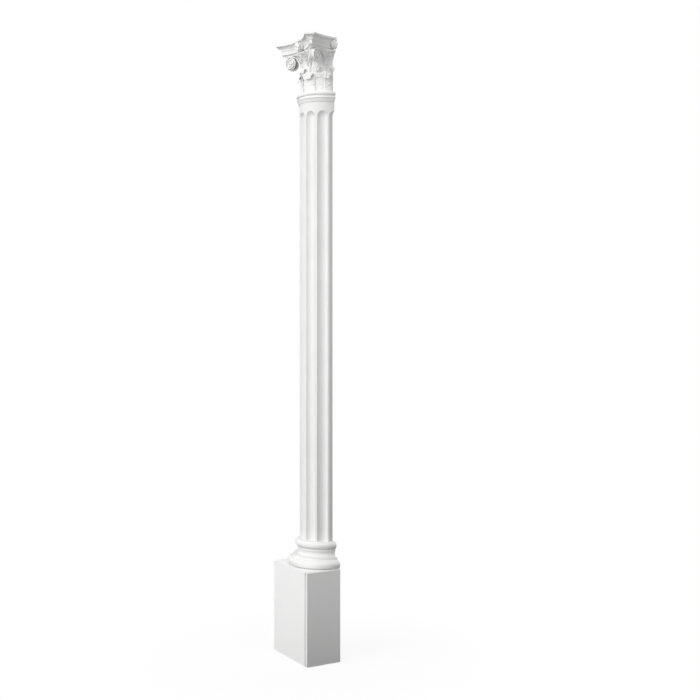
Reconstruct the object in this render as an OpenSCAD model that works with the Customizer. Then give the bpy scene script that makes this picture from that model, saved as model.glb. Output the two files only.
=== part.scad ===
// Wall half-column on a boarded pedestal: Corinthian half capital, fluted half-round shaft,
// attic half base and a rectangular block. Its flat back stands against a wall.
// Every sub-part is drawn about the column's axis, which lies in the wall plane, with the
// front towards -Y and z = 0 on the floor; stand_free() then centres the depth on the origin.

/* [Pedestal block] */
// Width of the block along the wall
block_w = 330; // [330:5:400]
// Depth of the block out from the wall
block_d = 172; // [168:1:175]
// Height of the block
block_h = 422; // [300:2:600]
// Thickness of the block's boards
board_t = 16; // [12:1:22]
// Side of the square battens inside the block
batten_w = 26; // [18:1:36]
// Width of the open joint along the right side board
joint_w = 5; // [1:0.5:8]
// Depth of that joint
joint_d = 7; // [2:0.5:10]

/* [Base moulding] */
// Radius of the lower torus
low_torus_r = 164; // [158:1:165]
// Height of the lower torus
low_torus_h = 38; // [30:1:44]
// Height of the fillet above the lower torus
base_fillet_h = 11; // [6:1:16]
// Radius of that fillet
base_fillet_r = 138; // [130:1:142]
// Height of the hollow scotia
scotia_h = 30; // [24:1:34]
// Radius of the scotia at its narrowest
scotia_r = 114; // [110:1:118]
// Height of the small fillet under the upper torus
neck_fillet_h = 6; // [4:1:10]
// Radius of the small fillet under the upper torus
neck_fillet_r = 120; // [119:1:124]
// Radius of the upper torus
top_torus_r = 130; // [126:1:134]
// Height of the upper torus
top_torus_h = 33; // [28:1:38]

/* [Shaft] */
// Radius of the shaft
shaft_r = 110; // [106:0.5:112]
// Length of the shaft
shaft_h = 2020; // [600:10:3000]
// Radius of the hollow behind the shaft
shaft_bore_r = 82; // [60:1:86]
// Number of flutes round a whole column
flute_count = 12; // [10:2:16]
// Width of the flat left between two flutes
arris_w = 6; // [3:0.5:9]
// Depth of a flute
flute_depth = 17; // [10:0.5:18]
// Plain collar above the flute heads
collar_h = 42; // [20:1:90]

/* [Capital core] */
// Height of the whole capital
capital_h = 290; // [286:1:320]
// Height of the astragal ring under the leaves
ring_h = 46; // [40:1:50]
// Radius of the bead on the astragal
bead_r = 124; // [121:0.5:128]
// How far each lower member of the astragal goes in
bead_step = 3; // [1:0.5:4]
// Groove between the beads of the astragal
bead_groove = 3; // [2:0.5:4]
// Radius of the bell behind the leaves
bell_r = 93; // [91:0.5:95]
// Wall of the hollow bell
bell_wall = 12; // [8:0.5:14]
// Height of the bell's straight part above the ring
bell_straight_h = 122; // [118:1:126]
// How far the bell's lip flares out
lip_out = 27; // [22:1:29]
// Height of the rounded lip
lip_h = 7; // [4:1:10]

/* [Abacus] */
// Width of the abacus from horn to horn
abacus_w = 350; // [344:2:360]
// Height of the abacus
abacus_h = 55; // [50:1:60]
// Width of the cut face on each horn
horn_w = 50; // [40:1:60]
// Distance from the axis to the middle of a hollowed side
abacus_mid = 134; // [130:1:144]
// Height of the fillet at the top
abacus_fillet_h = 8; // [6:1:12]
// Height of the cove under the fillet
cove_h = 20; // [16:1:24]
// How far the cove goes back
cove_in = 20; // [12:1:20]

/* [Leaves] */
// Thickness of a leaf
leaf_t = 5.5; // [4:0.5:6]
// Hollow between a leaf and its folded tip
leaf_fold = 5; // [3:0.5:7]
// Width of a lower leaf
low_leaf_w = 76; // [66:1:78]
// Height of a lower leaf above the ring
low_leaf_h = 94; // [84:1:98]
// How far a lower leaf's tip hangs down below its fold
low_droop = 46; // [30:1:54]
// Width of an upper leaf
high_leaf_w = 60; // [54:1:62]
// Height of an upper leaf above the ring
high_leaf_h = 119; // [112:1:120]
// How far an upper leaf's tip hangs down below its fold
high_droop = 24; // [16:1:26]
// Height of the ribs on a leaf
rib_t = 2.5; // [1:0.25:3]
// Width of a leaf's middle rib at its foot
rib_w = 8; // [5:0.5:11]

/* [Scrolls and flowers] */
// Radius of a corner scroll
scroll_r = 33; // [28:0.5:34]
// How far a corner scroll stands out from the column's axis
scroll_out = 189; // [186:0.5:192]
// Thickness of each face of a corner scroll
scroll_w = 16; // [12:1:20]
// Angle round the bell from a corner to the foot of each of its scroll's stems
stem_turn = 25.5; // [22:0.5:28]
// Radius of the small scrolls on the bell
helix_r = 17; // [12:0.5:17.5]
// Distance between the middles of two neighbouring small scrolls
helix_gap = 36; // [36:1:44]
// Relief of stalks and small scrolls on the bell
relief_t = 5.5; // [4:0.5:5.5]
// Width of a stalk at the ring
stalk_w = 12; // [8:0.5:14]
// Radius of a flower on the abacus
flower_r = 24; // [18:0.5:25]
// How far the petals of a flower swell out
petal_r = 8.2; // [6:0.2:8.2]

/* [Hidden] */

// Glue gap between curved pieces that seat on each other
seat_gap = 0.3;
// Overrun of every cut past the face that it opens
over = 2;
// Lap where two outlines of one piece run into each other
lap = 0.2;
// Segments of a full circle; every round face stays a true curve
$fn = 64;
plaster = "white";
painted_wood = "whitesmoke";
hidden_wood = "burlywood";

// Heights of the joints between the big pieces, from the floor
base_z = block_h;
base_h = low_torus_h + base_fillet_h + scotia_h + neck_fillet_h + top_torus_h;
shaft_z = base_z + base_h;
capital_z = shaft_z + shaft_h;
head_z = capital_z + capital_h;
ring_top = capital_z + ring_h;
abacus_z = head_z - abacus_h;

// Everything lies inside this reach from the axis
reach = abacus_w + block_w;
depth = max(abacus_w / 2, block_d);

// Leaf layers on the bell: upper leaves and stalks inside, lower leaves over them
high_root_r = bell_r + seat_gap;
low_root_r = high_root_r + leaf_t + seat_gap;
leaf_pitch = 45;
half_pitch = leaf_pitch / 2;
quarter = 90;

// Moves a sub-part from the wall plane so that the origin is the middle of the footprint
module stand_free() {
    translate([0, depth / 2, 0]) children();
}

// Keeps what lies in front of the wall plane
module half() {
    intersection() {
        children();
        translate([-reach, -reach, -over]) cube([2 * reach, reach, head_z + 2 * over]);
    }
}

// Turns a piece that faces the front to a bearing, counted from the front towards +X
module facing(bearing) {
    rotate([0, 0, bearing]) children();
}

// Stands a flat outline upright, facing the front, as a prism from the axis outwards
module upright_prism(length) {
    rotate([quarter, 0, 0]) linear_extrude(length) children();
}

// Pedestal block

module board(width, deep, high, x, y, z) {
    color(painted_wood) stand_free() translate([x, -y - deep, z]) cube([width, deep, high]);
}

// Inner face of the right side board, which the front and top boards meet
joint_x = block_w / 2 - board_t;

// Section of a board from the left face to the right side board, rebated at the open joint
module rebated_section() {
    polygon([[-block_w / 2, 0], [joint_x, 0], [joint_x, board_t - joint_d],
        [joint_x - joint_w, board_t - joint_d], [joint_x - joint_w, board_t],
        [-block_w / 2, board_t]]);
}

module block_front_board() {
    color(painted_wood) stand_free() translate([0, board_t - block_d, 0]) mirror([0, 1, 0])
        linear_extrude(block_h) rebated_section();
}

module block_top_board() {
    color(painted_wood) stand_free() translate([0, 0, block_h - board_t])
        upright_prism(block_d - board_t) rebated_section();
}

module block_left_board() {
    board(board_t, block_d - board_t, block_h - board_t, -block_w / 2, 0, 0);
}

module block_right_board() {
    board(board_t, block_d, block_h, joint_x, 0, 0);
}

module block_bottom_board() {
    board(block_w - 2 * board_t, block_d - board_t, board_t, board_t - block_w / 2, 0, 0);
}

// An upright batten in an inner corner of the block
module block_batten(side, y) {
    inner = block_w / 2 - board_t - batten_w / 2;
    color(hidden_wood) stand_free()
        translate([side * inner - batten_w / 2, -y - batten_w, board_t])
            cube([batten_w, batten_w, block_h - 2 * board_t]);
}

// Base moulding

// Half outline of the attic base, from the axis outwards
module base_outline() {
    fillet_z = low_torus_h;
    scotia_z = fillet_z + base_fillet_h;
    neck_z = scotia_z + scotia_h;
    top_z = neck_z + neck_fillet_h;
    square([low_torus_r - low_torus_h / 2, low_torus_h]);
    translate([low_torus_r - low_torus_h / 2, low_torus_h / 2]) circle(d = low_torus_h);
    translate([0, fillet_z]) square([base_fillet_r, base_fillet_h]);
    difference() {
        translate([0, scotia_z]) square([neck_fillet_r, scotia_h]);
        translate([scotia_r + scotia_h / 2, scotia_z + scotia_h / 2]) circle(d = scotia_h);
        translate([scotia_r + scotia_h / 2, scotia_z]) square([low_torus_r, scotia_h]);
    }
    translate([0, neck_z]) square([neck_fillet_r, neck_fillet_h]);
    translate([0, top_z]) square([top_torus_r - top_torus_h / 2, top_torus_h]);
    translate([top_torus_r - top_torus_h / 2, top_z + top_torus_h / 2]) circle(d = top_torus_h);
}

module base_moulding() {
    color(plaster) stand_free() half() translate([0, 0, base_z]) rotate_extrude() base_outline();
}

// Shaft

// One flute with its round head, cut along the shaft at the front
module flute() {
    pitch = 360 / flute_count;
    width = 2 * shaft_r * sin(pitch / 2) - arris_w;
    round_r = (width * width / 4 + flute_depth * flute_depth) / (2 * flute_depth);
    out = shaft_r - flute_depth + round_r;
    head = shaft_h - collar_h - sqrt(round_r * round_r - (out - shaft_r) * (out - shaft_r));
    translate([0, -out, -over]) cylinder(r = round_r, h = head + over);
    translate([0, -out, head]) sphere(r = round_r);
}

module fluted_shaft() {
    pitch = 360 / flute_count;
    color(plaster) stand_free() half() translate([0, 0, shaft_z]) difference() {
        cylinder(r = shaft_r, h = shaft_h);
        translate([0, 0, -over]) cylinder(r = shaft_bore_r, h = shaft_h + 2 * over);
        for (k = [-floor(quarter / pitch) : floor(quarter / pitch)]) facing(k * pitch) flute();
    }
}

// Capital core

// Shares of the astragal's height
bead_share = 0.4;
low_bead_share = 0.26;

// Half outline of the astragal: a bead, a smaller one under it and a splayed foot
module ring_outline() {
    bead_d = bead_share * ring_h;
    low_bead_d = low_bead_share * ring_h;
    low_bead_r = bead_r - bead_step;
    groove_z = ring_h - bead_d - bead_groove;
    foot_h = groove_z - low_bead_d;
    ring_bore = bell_r - bell_wall;
    polygon([[ring_bore, 0], [shaft_r + bead_step, 0], [low_bead_r - bead_groove, foot_h],
        [ring_bore, foot_h]]);
    translate([ring_bore, foot_h - lap])
        square([bead_r - bead_d / 2 - ring_bore, ring_h - foot_h + lap]);
    translate([low_bead_r - low_bead_d / 2, foot_h]) {
        translate([-bead_d / 2, 0]) square([bead_d / 2, low_bead_d]);
        translate([0, low_bead_d / 2]) circle(d = low_bead_d);
    }
    translate([bead_r - bead_d / 2, ring_h - bead_d / 2]) circle(d = bead_d);
}

module astragal_ring() {
    color(plaster) stand_free() half() translate([0, 0, capital_z]) rotate_extrude()
        ring_outline();
}

// The bell's flare is one arc that leaves the straight wall upright
flare_z = ring_top + bell_straight_h;
flare_h = abacus_z - lip_h - flare_z;
flare_r = (flare_h * flare_h + lip_out * lip_out) / (2 * lip_out);

// Region between two distances outside the bell's face, over its whole height
module bell_layer(inner, outer) {
    translate([bell_r + inner, ring_top]) square([outer - inner, bell_straight_h]);
    intersection() {
        translate([bell_r + flare_r, flare_z]) difference() {
            circle(r = flare_r - inner, $fn = 4 * $fn);
            circle(r = flare_r - outer, $fn = 4 * $fn);
        }
        translate([0, flare_z]) square([bell_r + flare_r, flare_h]);
    }
}

module capital_bell() {
    color(plaster) stand_free() half() rotate_extrude() {
        bell_layer(-bell_wall, 0);
        translate([bell_r + lip_out - bell_wall, abacus_z - lip_h]) square([bell_wall, lip_h]);
        translate([bell_r + lip_out, abacus_z - lip_h / 2]) circle(d = lip_h);
    }
}

// Abacus

// Height of the moulding's lower face, and how far each step goes in
fascia_h = abacus_h - abacus_fillet_h - cove_h;
fascia_in = cove_in + abacus_fillet_h / 3;
cavetto_r = fascia_h / 3;
horn_reach = (abacus_w - horn_w / sqrt(2)) / sqrt(2);
flower_seat = abacus_mid - fascia_in - cavetto_r;

// What the mouldings take away from a side, inwards from its face at x = 0
module abacus_cut_outline() {
    cove_r = (cove_h * cove_h + cove_in * cove_in) / (2 * cove_in);
    translate([-over, -over]) square([fascia_in + over, fascia_h + over]);
    intersection() {
        translate([-over, fascia_h - over]) square([cove_in + over, cove_h + over]);
        translate([cove_in - cove_r, fascia_h]) circle(r = cove_r, $fn = 2 * $fn);
    }
    intersection() {
        translate([fascia_in - over, -over]) square([cavetto_r + over, cavetto_r + over]);
        translate([fascia_in, 0]) circle(r = cavetto_r);
    }
}

// Radius of the hollowed sides, from one horn to the next
half_chord = abacus_w / 2 - horn_w / sqrt(2);
side_sag = abacus_w / 2 - abacus_mid;
side_r = (half_chord * half_chord + side_sag * side_sag) / (2 * side_sag);

// Plan of the abacus at its top
module abacus_plan() {
    difference() {
        square([abacus_w, abacus_w], center = true);
        for (bearing = [-quarter : quarter : quarter]) rotate(bearing)
            translate([0, -abacus_mid - side_r]) circle(r = side_r, $fn = 4 * $fn);
        for (bearing = [-leaf_pitch, leaf_pitch]) rotate(bearing)
            translate([-horn_w, -2 * horn_reach]) square([2 * horn_w, horn_reach]);
    }
}

module abacus() {
    color(plaster) stand_free() half() translate([0, 0, abacus_z]) difference() {
        linear_extrude(abacus_h) abacus_plan();
        for (bearing = [-quarter : quarter : quarter]) facing(bearing) {
            translate([0, -abacus_mid - side_r, 0]) rotate_extrude($fn = 4 * $fn)
                translate([side_r, 0]) abacus_cut_outline();
            translate([0, -flower_seat, abacus_h / 2]) rotate([quarter, 0, 0])
                cylinder(r = flower_r + seat_gap, h = abacus_w);
        }
        for (bearing = [-leaf_pitch, leaf_pitch]) facing(bearing)
            translate([-horn_w, -horn_reach, 0]) rotate([quarter, 0, quarter])
                linear_extrude(2 * horn_w) abacus_cut_outline();
    }
}

// Acanthus leaves

// Shares of the leaf's own width, of a lobe's radius or of the straight part's height
lobe_share = 0.15;
leaflet_share = 0.42;
leaflet_out_share = 0.8;
foot_share = 0.24;
belly_share = 0.3;
hood_share = 0.3;
eye_share = 0.028;
tongue_share = 0.2;
lobe_tilt = 32;
leaflet_fan = 48;
low_lobe_shares = [0.2, 0.5, 0.79];
high_lobe_shares = [0.22, 0.44, 0.65, 0.85];

// Section of a leaf: it lies against the bell and folds over at the top to a short leg
module leaf_section(root_r, rise) {
    fold_r = leaf_t + leaf_fold / 2;
    translate([root_r, 0]) square([leaf_t, rise]);
    translate([root_r + leaf_t + leaf_fold, rise - over]) square([leaf_t, over]);
    translate([root_r + fold_r, rise]) difference() {
        circle(r = fold_r);
        circle(r = leaf_fold / 2);
        translate([-2 * fold_r, -2 * fold_r]) square([4 * fold_r, 2 * fold_r]);
    }
}

// A lobe with three leaflets, pointing to the right
module lobe(r) {
    circle(r = r);
    for (k = [-1 : 1]) rotate(k * leaflet_fan)
        translate([leaflet_out_share * r, 0]) circle(r = leaflet_share * r);
}

// Outline of a leaf's standing part seen from the front, with drilled eyes between the lobes
module leaf_outline(w, rise, h, lobe_shares) {
    r = lobe_share * w;
    tip_x = w / 2 - (leaflet_out_share + leaflet_share) * r;
    hood = hood_share * w;
    difference() {
        union() {
            polygon([[-foot_share * w, 0], [foot_share * w, 0], [belly_share * w, rise / 2],
                [hood, rise], [hood, h + over], [-hood, h + over], [-hood, rise],
                [-belly_share * w, rise / 2]]);
            for (share = lobe_shares, side = [0, 1]) mirror([side, 0])
                translate([tip_x, share * rise]) rotate(lobe_tilt) lobe(r);
        }
        for (k = [1 : len(lobe_shares) - 1], side = [0, 1]) mirror([side, 0])
            translate([tip_x - r / 4, (lobe_shares[k - 1] + lobe_shares[k]) / 2 * rise])
                circle(r = eye_share * w);
    }
}

// Outline of the folded tip seen from the front: a tongue with leaflets down both edges
module tip_outline(w, rise, droop) {
    hood = hood_share * w;
    r = tongue_share * w;
    translate([-hood, rise - droop / 3]) square([2 * hood, droop / 3]);
    for (side = [-1, 1]) {
        translate([side * (hood - r / 2), rise - droop / 3]) circle(r = r / 2);
        translate([side * r, rise - droop * 2 / 3 + r / 4]) circle(r = r / 2);
    }
    translate([0, rise - droop + r]) circle(r = r);
}

// Ribs of a leaf seen from the front: one up the middle and one into each lobe
module rib_outline(w, rise, lobe_shares) {
    r = lobe_share * w;
    tip_x = w / 2 - (leaflet_out_share + leaflet_share) * r;
    drop = tip_x * tan(lobe_tilt);
    polygon([[-rib_w / 2, 0], [rib_w / 2, 0], [rib_w / 4, rise], [-rib_w / 4, rise]]);
    for (share = lobe_shares, side = [0, 1]) mirror([side, 0])
        polygon([[0, share * rise - drop - rib_w / 4], [tip_x, share * rise - rib_w / 8],
            [tip_x, share * rise + rib_w / 8], [0, share * rise - drop + rib_w / 4]]);
}

// Ribs of the folded tip seen from the front
module tip_rib_outline(w, rise, droop) {
    r = tongue_share * w;
    polygon([[-rib_w / 4, rise], [-rib_w / 6, rise - droop], [rib_w / 6, rise - droop],
        [rib_w / 4, rise]]);
    for (side = [-1, 1]) translate([side * r - rib_w / 8, rise - droop / 2])
        square([rib_w / 4, droop / 2]);
}

// A section of a leaf swept far enough round the axis for the leaf's width
module leaf_sweep() {
    sweep = leaf_pitch + half_pitch;
    rotate([0, 0, -quarter - sweep / 2]) rotate_extrude(angle = sweep) children();
}

// A layer of a leaf between two radii and two heights, cut to an upright outline
module leaf_layer(inner, outer, low, high) {
    intersection() {
        leaf_sweep() translate([inner, low]) square([outer - inner, high - low]);
        upright_prism(2 * outer) children();
    }
}

// A whole leaf at a bearing; ribs stand on its front unless another leaf hides them
module leaf(bearing, root_r, w, h, droop, lobe_shares, ribbed) {
    rise = h - leaf_t - leaf_fold / 2;
    face_r = root_r + leaf_t;
    tip_r = face_r + leaf_fold;
    color(plaster) stand_free() half() translate([0, 0, ring_top]) facing(bearing) {
        intersection() {
            leaf_sweep() leaf_section(root_r, rise);
            upright_prism(2 * root_r) leaf_outline(w, rise, h, lobe_shares);
        }
        leaf_layer(tip_r, tip_r + leaf_t, rise - droop - over, rise)
            tip_outline(w, rise, droop);
        if (ribbed) leaf_layer(face_r - leaf_t / 2, face_r + rib_t, 0, rise - droop - rib_w / 4)
            rib_outline(w, rise, lobe_shares);
        leaf_layer(tip_r + leaf_t / 2, tip_r + leaf_t + rib_t, rise - droop + rib_w / 2,
            rise - rib_w / 2) tip_rib_outline(w, rise, droop);
    }
}

module low_leaf(bearing) {
    leaf(bearing, low_root_r, low_leaf_w, low_leaf_h, low_droop, low_lobe_shares, true);
}

module high_leaf(bearing) {
    leaf(bearing, high_root_r, high_leaf_w, high_leaf_h, high_droop, high_lobe_shares,
        false);
}

// Scrolls

// Spiral turns, the angle a step covers, and a small stem's swing out, as a share of the radius
turns = 2;
step_a = 15;
helix_swing_share = 0.28;
eye_r_share = 0.26;
eye_sides = 32;
band_share = 0.19;

// Outer radius of a scroll t degrees after its top; before the top it swings out as a stem
function scroll_radius(r, t, swing) = t < 0
    ? r * (1 + swing * t * t / (quarter * quarter))
    : r * (1 - (1 - eye_r_share) * t / (360 * turns));

function scroll_point(r, t, swing, inset) =
    (scroll_radius(r, t, swing) - inset) * [cos(quarter - t), sin(quarter - t)];

// A band from the stem's foot over the top and round into the eye
module scroll_band(r, foot, swing) {
    last = 360 * turns;
    thick = band_share * r;
    polygon(concat(
        [for (t = [-foot : step_a : last]) scroll_point(r, t, swing, 0)],
        [for (t = [-foot : step_a : last]) scroll_point(r, last - foot - t, swing,
            thick * (1 - max(0, last - foot - t) / last / 2))]));
}

// Corner scroll: two faces that meet under the horn and spread to the stalks on either side
corner_foot = 125;
corner_z = abacus_z - scroll_r - seat_gap;
web_in = scroll_w / 5;

// A stem's foot on the bell, the angle by which its face turns there, and its swing out
foot_r = bell_r + 2 * relief_t;
foot_x = foot_r * sin(stem_turn);
foot_y = scroll_out - foot_r * cos(stem_turn);
splay = atan2(foot_x, foot_y);
stem_r = (sqrt(foot_x * foot_x + foot_y * foot_y) - scroll_r) / sin(corner_foot);
corner_swing = (stem_r / scroll_r - 1) * quarter * quarter / (corner_foot * corner_foot);

// Fills a scroll's face to the middle of its outer band
module scroll_web() {
    polygon([for (t = [0 : step_a : 360 - step_a]) scroll_point(scroll_r, t, 0,
        band_share * scroll_r / 2)]);
}

// One face of a corner scroll, drawn from its outer edge inwards
module scroll_face() {
    translate([-scroll_r, 0, 0]) {
        linear_extrude(scroll_w) scroll_band(scroll_r, corner_foot, corner_swing);
        translate([0, 0, web_in]) linear_extrude(scroll_w - 2 * web_in) scroll_web();
        linear_extrude(scroll_w) circle(r = eye_r_share * scroll_r, $fn = eye_sides);
    }
}

module corner_scroll(bearing) {
    color(plaster) stand_free() facing(bearing) difference() {
        for (side = [-1, 1]) translate([0, -scroll_out, corner_z])
            rotate([0, 0, side * splay]) rotate([quarter, 0, -quarter])
                translate([0, 0, -scroll_w / 2]) scroll_face();
        rotate_extrude() bell_face();
    }
}

// Everything behind the relief on the bell's face, with a glue gap, and behind the lip
module bell_face() {
    out = relief_t + 2 * seat_gap;
    translate([0, ring_top - over]) square([bell_r + out, bell_straight_h + over]);
    difference() {
        translate([0, flare_z - lap]) square([bell_r + lip_out + out, flare_h + lap]);
        translate([bell_r + flare_r, flare_z]) circle(r = flare_r - out, $fn = 4 * $fn);
    }
    translate([0, abacus_z - lip_h]) square([bell_r + lip_out + lip_h / 2 + seat_gap, 2 * lip_h]);
}

// Applied relief on the bell, cut to an upright outline
module on_bell(bearing) {
    sweep = 2 * leaf_pitch;
    color(plaster) stand_free() half() facing(bearing) intersection() {
        rotate([0, 0, -quarter - sweep / 2]) rotate_extrude(angle = sweep)
            bell_layer(seat_gap, seat_gap + relief_t);
        upright_prism(abacus_w / 2) translate([0, ring_top]) children();
    }
}

// Where the small scrolls sit above the ring, and where a stalk hands over to their stems
helix_z = bell_straight_h + flare_h - helix_r - seat_gap;
helix_foot = 130;
calyx_share = 0.75;
stalk_top = helix_z - helix_r * (1 + helix_swing_share * 2) * sin(helix_foot - quarter);

// Puts the children at the middle of a small scroll, turned so that its stem lies outside
module at_helix(bearing, side) {
    on_bell(bearing) translate([side * helix_gap / 2, helix_z]) scale([-side, 1]) children();
}

// Small scroll beside a flower, with its eye; side tells which way its stem goes
module helix(bearing, side) {
    at_helix(bearing, side) scroll_band(helix_r, helix_foot, helix_swing_share);
    at_helix(bearing, side) circle(r = (eye_r_share + band_share / 3) * helix_r);
}

// Stalk between the upper leaves, with its calyx
module stalk(bearing) {
    neck = stalk_w / 3;
    calyx_z = stalk_top - 2 * stalk_w;
    cup = calyx_share * stalk_w;
    cup_z = stalk_top - seat_gap;
    on_bell(bearing) {
        polygon([[-stalk_w / 2, 0], [stalk_w / 2, 0], [neck, calyx_z], [-neck, calyx_z]]);
        polygon([[-neck, calyx_z - lap], [neck, calyx_z - lap], [cup, cup_z], [-cup, cup_z]]);
    }
}

// Flower of five round petals and a boss, let into a round seat in the abacus
petal_count = 5;
petal_margin = 0.6;

module flower(bearing) {
    face = abacus_mid - flower_seat;
    boss_r = flower_r - 2 * petal_r - 2 * petal_margin;
    color(plaster) stand_free() half() facing(bearing)
        translate([0, -flower_seat, abacus_z + abacus_h / 2]) rotate([quarter, 0, 0]) {
            cylinder(r = flower_r, h = face);
            for (k = [0 : petal_count - 1]) rotate(quarter + k * 360 / petal_count)
                translate([flower_r - petal_r - petal_margin, 0, face - petal_margin])
                    sphere(r = petal_r);
            translate([0, 0, face + boss_r / 2]) sphere(r = boss_r);
        }
}

block_front_board();
block_left_board();
block_right_board();
block_top_board();
block_bottom_board();
block_batten(-1, block_d - board_t - batten_w);  // block_front_left_batten
block_batten(1, block_d - board_t - batten_w);  // block_front_right_batten
block_batten(-1, 0);  // block_back_left_batten
block_batten(1, 0);  // block_back_right_batten
base_moulding();
fluted_shaft();
astragal_ring();
capital_bell();
abacus();
low_leaf(-3 * half_pitch);  // low_leaf_left_side
low_leaf(-half_pitch);  // low_leaf_left_front
low_leaf(half_pitch);  // low_leaf_right_front
low_leaf(3 * half_pitch);  // low_leaf_right_side
high_leaf(-quarter);  // high_leaf_left_wall
high_leaf(-leaf_pitch);  // high_leaf_left_corner
high_leaf(0);  // high_leaf_front
high_leaf(leaf_pitch);  // high_leaf_right_corner
high_leaf(quarter);  // high_leaf_right_wall
stalk(-3 * half_pitch);  // stalk_left_side
stalk(-half_pitch);  // stalk_left_front
stalk(half_pitch);  // stalk_right_front
stalk(3 * half_pitch);  // stalk_right_side
helix(-quarter, 1);  // helix_left_side
helix(0, -1);  // helix_left_front
helix(0, 1);  // helix_right_front
helix(quarter, -1);  // helix_right_side
corner_scroll(-leaf_pitch);  // corner_scroll_left
corner_scroll(leaf_pitch);  // corner_scroll_right
flower(-quarter);  // flower_left
flower(0);  // flower_front
flower(quarter);  // flower_right
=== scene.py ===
"""Dresses the wall half-column: moulded white pieces, painted boards and a pale studio.

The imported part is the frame. Lengths are metres. The column's axis stands in the wall plane,
the front faces -Y, and a bearing is counted from the front towards +X.
"""

import math

import bmesh
import bpy
import numpy as np
from bpy.props import FloatProperty, FloatVectorProperty, IntProperty, PointerProperty
from mathutils import Matrix, Vector


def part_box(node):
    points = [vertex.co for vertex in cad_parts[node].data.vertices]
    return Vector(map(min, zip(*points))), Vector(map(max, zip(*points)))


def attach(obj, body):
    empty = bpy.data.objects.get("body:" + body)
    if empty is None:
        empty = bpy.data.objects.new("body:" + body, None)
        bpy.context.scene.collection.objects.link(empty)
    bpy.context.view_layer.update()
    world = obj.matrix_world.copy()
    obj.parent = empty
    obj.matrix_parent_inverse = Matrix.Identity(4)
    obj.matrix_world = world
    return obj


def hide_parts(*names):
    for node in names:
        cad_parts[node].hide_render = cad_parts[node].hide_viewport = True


bl_info = {
    "name": "Wall half-column",
    "version": (1, 0, 0),
    "blender": (4, 5, 0),
    "location": "View3D > Sidebar > Half-column",
    "description": "Carves and paints a fluted half-column on its pedestal block",
    "category": "Object",
}

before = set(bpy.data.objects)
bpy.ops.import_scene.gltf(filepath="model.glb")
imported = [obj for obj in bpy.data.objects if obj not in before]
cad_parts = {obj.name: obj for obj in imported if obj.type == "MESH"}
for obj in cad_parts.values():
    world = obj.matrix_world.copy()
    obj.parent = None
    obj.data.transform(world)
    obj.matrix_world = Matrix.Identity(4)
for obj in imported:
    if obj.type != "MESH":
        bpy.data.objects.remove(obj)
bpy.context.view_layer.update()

MM = 0.001
QUARTER = math.pi / 2
FULL_TURN = 2 * math.pi
WHITE = (1.0, 1.0, 1.0, 1.0)

# The picture's side in pixels, and the camera's sensor in millimetres
PHOTO_SIDE = 700
SENSOR = 36.0

# Lamps: where they stand, what they point at and how broad they are
KEY_PLACE, KEY_TARGET, KEY_ANGLE = (0.6, -6.0, 2.9), (0, 0, 1.4), math.radians(60)
FILL_PLACE, FILL_TARGET, FILL_RADIUS = (3.2, -0.3, 2.6), (0, 0, 1.9), 0.5
FILL_CONE = math.radians(64)
# How steeply a ray points up where the overhead light starts, and where it is full
OVERHEAD_RISE = (0.55, 0.9)

# The floor: a disc whose near grey gives way to its far grey over a span from the column
FLOOR_RADIUS, FLOOR_SIDES = 30.0, 96
FLOOR_SPAN = (0.3, 1.1)
BOUNCE_NEAR, BOUNCE_FAR = (0.02, 0.02, 0.02), (0.3, 0.3, 0.3)
# What the camera sees there: a grey that takes the shadow, under this share of white glow
SHADOW_PAPER = (0.9, 0.9, 0.9)
GLOW_SHARE = 0.88

# The block's boards by the way that their grain runs, and the battens inside it
UPRIGHT_BOARDS = ("block_front_board", "block_left_board", "block_right_board")
LEVEL_BOARDS = ("block_top_board", "block_bottom_board")
BATTENS = ("block_front_left_batten", "block_front_right_batten", "block_back_left_batten",
           "block_back_right_batten")

# The open joint at the right board, painted dark for its raw edges and for the shade in it: its
# right side, its size, how softly the painted shade starts, and how far below the painted face
# it is full
JOINT_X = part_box("block_right_board")[0].x
JOINT_WIDTH, JOINT_DEPTH = 5 * MM, 7 * MM
JOINT_BLUR, JOINT_LIP = 0.4 * MM, 2 * MM

# The capital's pieces by bearing in degrees; a stalk stands over each lower leaf
BETWEEN = {"left_side": -67.5, "left_front": -22.5, "right_front": 22.5, "right_side": 67.5}
LOW_LEAVES = {f"low_leaf_{place}": bearing for place, bearing in BETWEEN.items()}
STALKS = {f"stalk_{place}": bearing for place, bearing in BETWEEN.items()}
HIGH_LEAVES = {"high_leaf_left_wall": -90, "high_leaf_left_corner": -45, "high_leaf_front": 0,
               "high_leaf_right_corner": 45, "high_leaf_right_wall": 90}
CORNER_SCROLLS = {"corner_scroll_left": -45, "corner_scroll_right": 45}
FLOWERS = {"flower_left": -90, "flower_front": 0, "flower_right": 90}
# The small scrolls by the bearing of their flower and the side of it that they are on
HELICES = {"helix_left_side": (-90, 1), "helix_left_front": (0, -1),
           "helix_right_front": (0, 1), "helix_right_side": (90, -1)}
WALL_BEARING = 90

# The wall plane, and the bell's outer face: straight up to a height above the ring, then one
# flaring arc
WALL_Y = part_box("fluted_shaft")[1].y
RING_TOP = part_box("capital_bell")[0].z
BELL_R = 93 * MM
BELL_STRAIGHT = 122 * MM
FLARE_R = 80.2 * MM
FLARE_END = 0.98 * FLARE_R

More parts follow.
